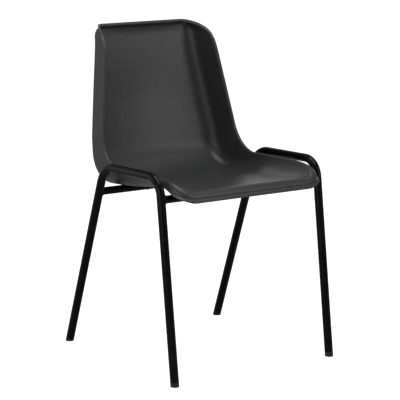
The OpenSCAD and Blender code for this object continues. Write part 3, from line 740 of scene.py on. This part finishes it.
def rail_joint(rail, lean, side, n=96):
    """Points where the rail's skin meets the leg's skin, at one end."""
    axis = np.array([0, math.sin(lean), math.cos(lean)])
    path = []
    for k in range(n):
        a = 2 * math.pi * k / n
        skin = np.array([0, math.cos(a), math.sin(a)]) * (RAIL_R + WELD_GAP)
        off = skin - axis * (skin @ axis)
        reach = math.sqrt(max(TUBE_R ** 2 - off @ off, 0))
        path.append([side * (SIDE_X - reach - WELD_GAP), rail[0] + skin[1], rail[1] + skin[2]])
    return path


welds = []
for word, rail, lean in (("front", front_rail, LEAN_FRONT), ("rear", rear_rail, -LEAN_REAR)):
    for hand, side in (("left", -1), ("right", 1)):
        welds.append(bead(f"weld_{word}_rail_{hand}", rail_joint(rail, lean, side), RAIL_BEAD))
print("rail welds", len(welds))

# %% Weld the lugs to the rails
# Radius of a lug's bead, how far it stands off the corner, its share of the lug's width, its points
LUG_BEAD, LUG_OFF, LUG_SHARE, LUG_POINTS = 1.3, 0.5, 0.86, 40
lug_run = np.linspace(-LUG_SHARE, LUG_SHARE, LUG_POINTS)
for word, rail, way in (("front", front_rail, 1), ("rear", rear_rail, -1)):
    for hand, x in (("left", -LUG_X), ("right", LUG_X)):
        for face, z in (("top", LUG_T / 2), ("under", -LUG_T / 2)):
            across = math.sqrt(RAIL_R ** 2 - z ** 2) + LUG_OFF
            spot = rail + pan_dir * way * across + pan_up * (z + math.copysign(LUG_OFF, z))
            path = [[x + LUG_HALF * t, spot[0], spot[1]] for t in lug_run]
            welds.append(bead(f"weld_lug_{word}_{hand}_{face}", path, LUG_BEAD, closed=False))
print("welds in all", len(welds))

# %% [markdown]
# ## Finishes
# Two effects are shared. The first is grain: the plastic has the fine leather-like grain of a
# textured mould, and the enamel has a faint orange peel, both a height that feeds a bump. The
# second is handling: years of stacking leave faint scuffs, which make a surface rougher and a
# little paler in patches. A picture of a grain would need a seamless unwrap of the bucket, while
# noise in object space has no seams and keeps its real scale. Each effect is a node group, built
# once, with its own sizes in each material.

# %% Group helpers
def new_group(name, ins, outs):
    """A node group with named float inputs and outputs, and its two end nodes."""
    group = bpy.data.node_groups.new(name, "ShaderNodeTree")
    for label, value in ins:
        socket = group.interface.new_socket(label, in_out="INPUT", socket_type="NodeSocketFloat")
        socket.default_value = value
    for label in outs:
        group.interface.new_socket(label, in_out="OUTPUT", socket_type="NodeSocketFloat")
    return group, group.nodes.new("NodeGroupInput"), group.nodes.new("NodeGroupOutput")


def math_node(tree, kind, a, b=None, clamp=False):
    """A Math node; a and b are sockets or numbers."""
    node = tree.nodes.new("ShaderNodeMath")
    node.operation = kind
    node.use_clamp = clamp
    for i, v in enumerate((a, b)):
        if isinstance(v, bpy.types.NodeSocket):
            tree.links.new(v, node.inputs[i])
        elif v is not None:
            node.inputs[i].default_value = v
    return node.outputs[0]


def object_coords(tree):
    return tree.nodes.new("ShaderNodeTexCoord").outputs["Object"]


def remap(tree, value, low, high, out_low=0.0, out_high=1.0):
    """A Map Range node from low and high to out_low and out_high."""
    node = tree.nodes.new("ShaderNodeMapRange")
    tree.links.new(value, node.inputs["Value"])
    for label, v in (("From Min", low), ("From Max", high), ("To Min", out_low), ("To Max", out_high)):
        node.inputs[label].default_value = v
    return node.outputs["Result"]


print("group inputs and outputs are plain float sockets")

# %% Grain group
CELL_SMOOTH, WAVE_DETAIL, WAVE_SHARE = 0.6, 3, 1.4
grain, gi, go = new_group("mould_grain", [("Cell", 900.0), ("Wave", 120.0)], ["Height", "Tone"])
cells = grain.nodes.new("ShaderNodeTexVoronoi")
cells.feature = "SMOOTH_F1"
cells.inputs["Smoothness"].default_value = CELL_SMOOTH
waves = grain.nodes.new("ShaderNodeTexNoise")
waves.inputs["Detail"].default_value = WAVE_DETAIL
place = object_coords(grain)
for node, label in ((cells, "Cell"), (waves, "Wave")):
    grain.links.new(place, node.inputs["Vector"])
    grain.links.new(gi.outputs[label], node.inputs["Scale"])
swell = math_node(grain, "MULTIPLY", waves.outputs["Fac"], WAVE_SHARE)
grain.links.new(math_node(grain, "ADD", cells.outputs["Distance"], swell), go.inputs["Height"])
grain.links.new(waves.outputs["Fac"], go.inputs["Tone"])
print(grain.name, [s.name for s in grain.interface.items_tree])

# %% Scuff group
PATCH_DETAIL, STROKE_DETAIL, STROKE_BEND = 4, 6, 1.2
STROKE_STRETCH, STROKE_TURN = (1.0, 0.25, 0.18), (0.4, 0.2, 0.6)
PATCH_EDGE, STROKE_EDGE = (0.42, 0.68), (0.5, 0.72)
scuff, si, so = new_group("handling_scuffs", [("Patch", 9.0), ("Stroke", 240.0), ("Amount", 0.5)], ["Mask"])
patch = scuff.nodes.new("ShaderNodeTexNoise")
patch.inputs["Detail"].default_value = PATCH_DETAIL
stroke = scuff.nodes.new("ShaderNodeTexNoise")
stroke.inputs["Detail"].default_value = STROKE_DETAIL
stroke.inputs["Distortion"].default_value = STROKE_BEND
stretch = scuff.nodes.new("ShaderNodeMapping")
stretch.inputs["Scale"].default_value = STROKE_STRETCH
stretch.inputs["Rotation"].default_value = STROKE_TURN
place = object_coords(scuff)
scuff.links.new(place, patch.inputs["Vector"])
scuff.links.new(place, stretch.inputs["Vector"])
scuff.links.new(stretch.outputs[0], stroke.inputs["Vector"])
scuff.links.new(si.outputs["Patch"], patch.inputs["Scale"])
scuff.links.new(si.outputs["Stroke"], stroke.inputs["Scale"])
where = remap(scuff, patch.outputs["Fac"], *PATCH_EDGE)
lines = remap(scuff, stroke.outputs["Fac"], *STROKE_EDGE)
marks = math_node(scuff, "MULTIPLY", where, lines)
scuff.links.new(math_node(scuff, "MULTIPLY", marks, si.outputs["Amount"], clamp=True), so.inputs["Mask"])
print(scuff.name, [s.name for s in scuff.interface.items_tree])

# %% Material helpers
# The middle part of the noise, which is spread over a material's whole range
TONE_LOW, TONE_HIGH = 0.3, 0.7


def finish(name):
    """A new material with its node tree and its shader."""
    mat = bpy.data.materials.new(name)
    mat.use_nodes = True
    return mat, mat.node_tree, mat.node_tree.nodes["Principled BSDF"]


def place_group(tree, group, **values):
    """A group placed in a material with its own values."""
    node = tree.nodes.new("ShaderNodeGroup")
    node.node_tree = group
    for label, v in values.items():
        node.inputs[label].default_value = v
    return node


def blend_colours(tree, factor, a, b):
    """Mix of two colours by a mask; each is a colour or the result of another mix."""
    node = tree.nodes.new("ShaderNodeMix")
    node.data_type = "RGBA"
    tree.links.new(factor, node.inputs["Factor"])
    for label, v in (("A", a), ("B", b)):
        socket = next(s for s in node.inputs if s.name == label and s.type == "RGBA")
        if isinstance(v, bpy.types.NodeSocket):
            tree.links.new(v, socket)
        else:
            socket.default_value = (*v, 1)
    return next(s for s in node.outputs if s.type == "RGBA")


def bump(tree, shader, height, strength, distance):
    """A height turned into the shader's normal; distance is its depth in metres."""
    node = tree.nodes.new("ShaderNodeBump")
    node.inputs["Strength"].default_value = strength
    node.inputs["Distance"].default_value = distance
    tree.links.new(height, node.inputs["Height"])
    tree.links.new(node.outputs["Normal"], shader.inputs["Normal"])


def coat(name, grains, scuffs, dark, pale, scuffed, smooth, rough, scuff_rough, bump_strength, bump_depth):
    """A coloured surface whose grain shifts tone and roughness, with scuffs over it."""
    mat, tree, shader = finish(name)
    g = place_group(tree, grain, **grains)
    s = place_group(tree, scuff, **scuffs)
    tone = blend_colours(tree, remap(tree, g.outputs["Tone"], TONE_LOW, TONE_HIGH), dark, pale)
    tree.links.new(blend_colours(tree, s.outputs["Mask"], tone, scuffed), shader.inputs["Base Color"])
    even = remap(tree, g.outputs["Tone"], TONE_LOW, TONE_HIGH, smooth, rough)
    worn = math_node(tree, "MULTIPLY", s.outputs["Mask"], scuff_rough)
    tree.links.new(math_node(tree, "ADD", even, worn), shader.inputs["Roughness"])
    bump(tree, shader, g.outputs["Height"], bump_strength, bump_depth)
    return mat, shader


print("tone is spread from", TONE_LOW, "to", TONE_HIGH)

# %% [markdown]
# ### Charcoal plastic
# The bucket is coloured right through. Its grain breaks up reflections into a satin sheen, so it
# looks paler where it faces a soft box and nearly black where it only sees itself. One grey would
# look like paint, so the noise that makes the swell of the grain also shifts its tone.

# %% Charcoal plastic
plastic, shader = coat(
    "charcoal_plastic",
    grains=dict(Cell=1100.0, Wave=260.0),
    scuffs=dict(Patch=7.0, Stroke=190.0, Amount=0.5),
    dark=(0.028, 0.0285, 0.030),
    pale=(0.048, 0.0485, 0.050),
    scuffed=(0.075, 0.075, 0.077),
    smooth=0.31,
    rough=0.39,
    scuff_rough=0.12,
    bump_strength=0.6,
    bump_depth=0.00012,
)
shell.data.materials.append(plastic)
print("finish", plastic.name)

# %% [markdown]
# ### Black enamel
# Powder coat on the tube: nearly black, fairly glossy, with a soft orange peel. The coat is
# rubbed dull in patches where chairs were stacked and where hands carry them. A clear coat over
# black would mirror the room too sharply, so one layer with a low specular level is used.

# %% Black enamel
ENAMEL_SHINE = 0.17
enamel, shader = coat(
    "black_enamel",
    grains=dict(Cell=420.0, Wave=160.0),
    scuffs=dict(Patch=14.0, Stroke=320.0, Amount=0.6),
    dark=(0.0010, 0.0010, 0.0011),
    pale=(0.0020, 0.0020, 0.0021),
    scuffed=(0.018, 0.018, 0.019),
    smooth=0.15,
    rough=0.21,
    scuff_rough=0.25,
    bump_strength=0.25,
    bump_depth=0.00006,
)
shader.inputs["Specular IOR Level"].default_value = ENAMEL_SHINE
print("finish", enamel.name)

# %% [markdown]
# ### Foot plastic
# The inserts in the leg ends are black and duller than the enamel, with a band of grey floor
# dirt ground into their lowest few millimetres. The dirt could be painted on each foot, but the
# height above the floor places it on all four at once.

# %% Foot plastic
DIRT_TOP = 0.006
FOOT_BLACK, FOOT_DIRTY = (0.010, 0.010, 0.0105), (0.055, 0.053, 0.05)
FOOT_SMOOTH, FOOT_ROUGH = 0.46, 0.7
# Range of the noise, and the share of dirt that it leaves
DIRT_PATCHES = (0.35, 0.65, 0.2, 1.0)
foot_black, tree, shader = finish("foot_plastic")
g = place_group(tree, grain, Cell=700.0, Wave=220.0)
s = place_group(tree, scuff, Patch=60.0, Stroke=500.0, Amount=1.0)
split = tree.nodes.new("ShaderNodeSeparateXYZ")
tree.links.new(object_coords(tree), split.inputs[0])
low = remap(tree, split.outputs["Z"], 0.0, DIRT_TOP, 1.0, 0.0)
dirt = math_node(tree, "MULTIPLY", low, remap(tree, g.outputs["Tone"], *DIRT_PATCHES), clamp=True)
worn = math_node(tree, "MAXIMUM", dirt, s.outputs["Mask"])
tree.links.new(blend_colours(tree, worn, FOOT_BLACK, FOOT_DIRTY), shader.inputs["Base Color"])
tree.links.new(remap(tree, worn, 0.0, 1.0, FOOT_SMOOTH, FOOT_ROUGH), shader.inputs["Roughness"])
bump(tree, shader, g.outputs["Height"], strength=0.3, distance=0.0001)
print("finish", foot_black.name)

# %% [markdown]
# ### Fixings
# Screws and washers are plated in black zinc, with a slight haze, and the inserts are turned brass.
# A dark paint would look like plastic. Both are metal, so the colour sits in the reflection, and
# the grain only breaks it up.

# %% Zinc and brass
HAZE = (0.4, 0.75)


def plated(name, clean, dull, low, high):
    """A metal whose polish goes from clean to dull with the grain and the scuffs."""
    mat, tree, shader = finish(name)
    g = place_group(tree, grain, Cell=2200.0, Wave=700.0)
    s = place_group(tree, scuff, Patch=90.0, Stroke=900.0, Amount=0.8)
    shader.inputs["Metallic"].default_value = 1.0
    worn = math_node(tree, "MAXIMUM", s.outputs["Mask"], remap(tree, g.outputs["Tone"], *HAZE))
    tree.links.new(blend_colours(tree, worn, clean, dull), shader.inputs["Base Color"])
    tree.links.new(remap(tree, g.outputs["Tone"], TONE_LOW, TONE_HIGH, low, high), shader.inputs["Roughness"])
    bump(tree, shader, g.outputs["Height"], strength=0.2, distance=0.00004)
    return mat


zinc = plated("black_zinc", (0.055, 0.056, 0.06), (0.11, 0.11, 0.115), 0.28, 0.42)
brass = plated("turned_brass", (0.78, 0.60, 0.30), (0.52, 0.38, 0.17), 0.25, 0.4)
print("finishes", zinc.name, brass.name)

# %% [markdown]
# ## Frame, feet and fixings
# The bent tubes, rails, lugs, feet, screws, washers and inserts are right as the CAD made them.
# They could be modelled again, but nothing would be gained, so they stay where they are and only
# their material slots are filled, by the slot that the record names for each.

# %% Dress the CAD nodes
FINISH_OF = {"frame_enamel": enamel, "foot_plastic": foot_black, "fixing_steel": zinc, "insert_brass": brass}
slot_of = {s["node"]: s["material_slot"] for s in frame["record"]["subparts"]}
for name, obj in frame["nodes"].items():
    chosen = FINISH_OF.get(slot_of[name])
    if chosen and obj.data.materials:
        for i in range(len(obj.material_slots)):
            obj.material_slots[i].material = chosen
for weld in welds:
    weld.data.materials.append(enamel)
print("dressed", sorted(frame["nodes"]))

# %% Sizes and finish
bpy.context.view_layer.update()
low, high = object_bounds()
print("visual box in mm:", [round(v / MM, 1) for v in (*low, *high)])
